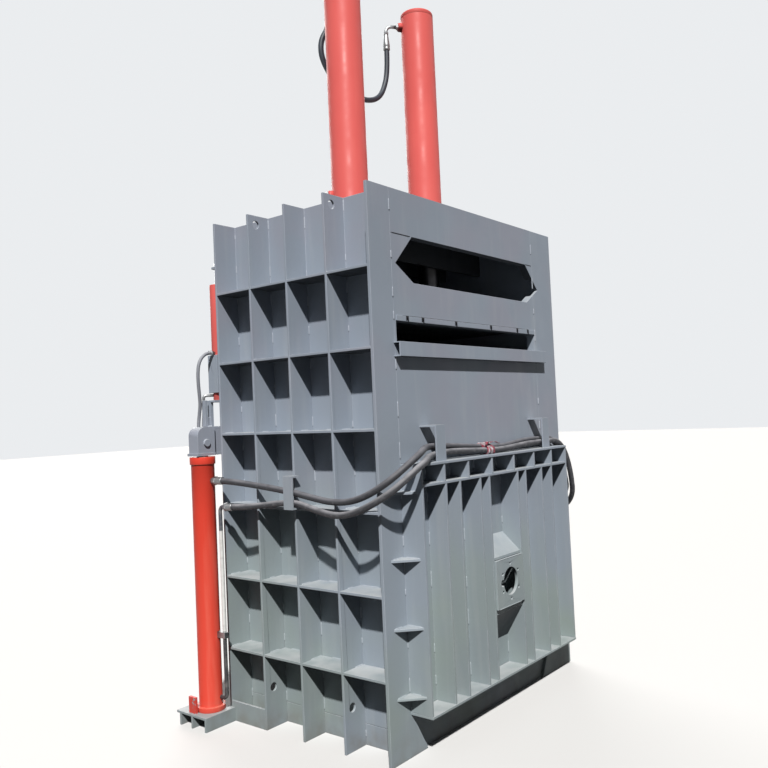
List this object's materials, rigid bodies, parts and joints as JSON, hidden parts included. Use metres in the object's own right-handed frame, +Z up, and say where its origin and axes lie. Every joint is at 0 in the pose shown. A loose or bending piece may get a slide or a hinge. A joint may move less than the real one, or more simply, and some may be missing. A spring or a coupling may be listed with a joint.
{
  "type": "vertical baling press",
  "caption": "Ribbed steel baling press with tall main cylinders, a platen, a lifting front gate with feed door, side lift cylinders, hoses and a rear strapping panel.",
  "frame": {"origin": "on the floor under the middle of the box's footprint", "axes": "+Z up, +Y out of the rear wall with the window and the strapping panel, +X out of the side wall that the picture shows"},
  "size_m": [2.132, 1.4486, 4.002],
  "materials": {
    "grey_paint": "semi-gloss machine paint, dusty and rubbed at edges",
    "coral_paint": "gloss paint",
    "orange_paint": "gloss paint",
    "chromed_rod": "polished",
    "fitting_steel": "zinc bright",
    "bolt_steel": "zinc",
    "hose_rubber": "matt black rubber, dusty",
    "grey_hose": "grey sleeve",
    "pale_pipe": "pale paint"
  },
  "bodies": {
    "frame": {"side_skin_near": "grey_paint", "side_skin_far": "grey_paint", "side_ribs": "grey_paint", "side_bars": "grey_paint", "sole_plates": "grey_paint", "corner_strip_near": "grey_paint", "corner_strip_far": "grey_paint", "rear_top_plate": "grey_paint", "rear_upper_plate": "grey_paint", "notch_strip": "grey_paint", "slot_rail": "grey_paint", "rear_lower_plate": "grey_paint", "panel_skin": "grey_paint", "panel_flanges": "grey_paint", "panel_ends": "grey_paint", "panel_ribs": "grey_paint", "panel_webs": "grey_paint", "panel_gussets": "grey_paint", "ejector_plate": "grey_paint", "ejector_slopes": "grey_paint", "floor_plate": "grey_paint", "floor_beams": "grey_paint", "crosshead_plate": "grey_paint", "crosshead_beams": "grey_paint", "front_apron": "grey_paint", "main_barrels": "coral_paint", "main_caps": "coral_paint", "flange_bolts": "bolt_steel", "main_ports": "fitting_steel", "lift_barrels": "orange_paint", "lift_feet": "grey_paint", "gate_keepers": "grey_paint", "lift_pipes": "pale_pipe", "lift_fittings": "fitting_steel", "hose_brackets": "grey_paint", "hose_upper": "hose_rubber", "hose_lower": "hose_rubber", "hose_main": "hose_rubber"},
    "ram": {"ram_rods": "chromed_rod", "platen_face": "grey_paint", "platen_frame": "grey_paint"},
    "gate": {"gate_panel": "grey_paint", "gate_stiles": "grey_paint", "gate_bars": "grey_paint", "door_guides": "grey_paint", "gate_arms": "grey_paint", "gate_ears": "grey_paint", "lift_rods": "chromed_rod", "door_stools": "grey_paint", "door_barrels": "coral_paint", "cover_plates": "grey_paint", "door_fittings": "fitting_steel", "door_hose_top_near": "grey_hose", "door_hose_top_far": "grey_hose", "door_hose_low_near": "grey_hose", "door_hose_low_far": "grey_hose"},
    "door": {"door_panel": "grey_paint", "door_bars": "grey_paint", "door_lugs": "grey_paint", "door_rods": "chromed_rod"}
  },
  "joints": [
    {"name": "ram_slide", "type": "slide", "parent": "frame", "child": "ram", "axis": [0, 0, -1], "range_m": [0, 1.2]},
    {"name": "gate_slide", "type": "slide", "parent": "frame", "child": "gate", "axis": [0, 0, 1], "range_m": [0, 1]},
    {"name": "door_slide", "type": "slide", "parent": "gate", "child": "door", "axis": [0, 0, 1], "range_m": [0, 0.45]}
  ]
}
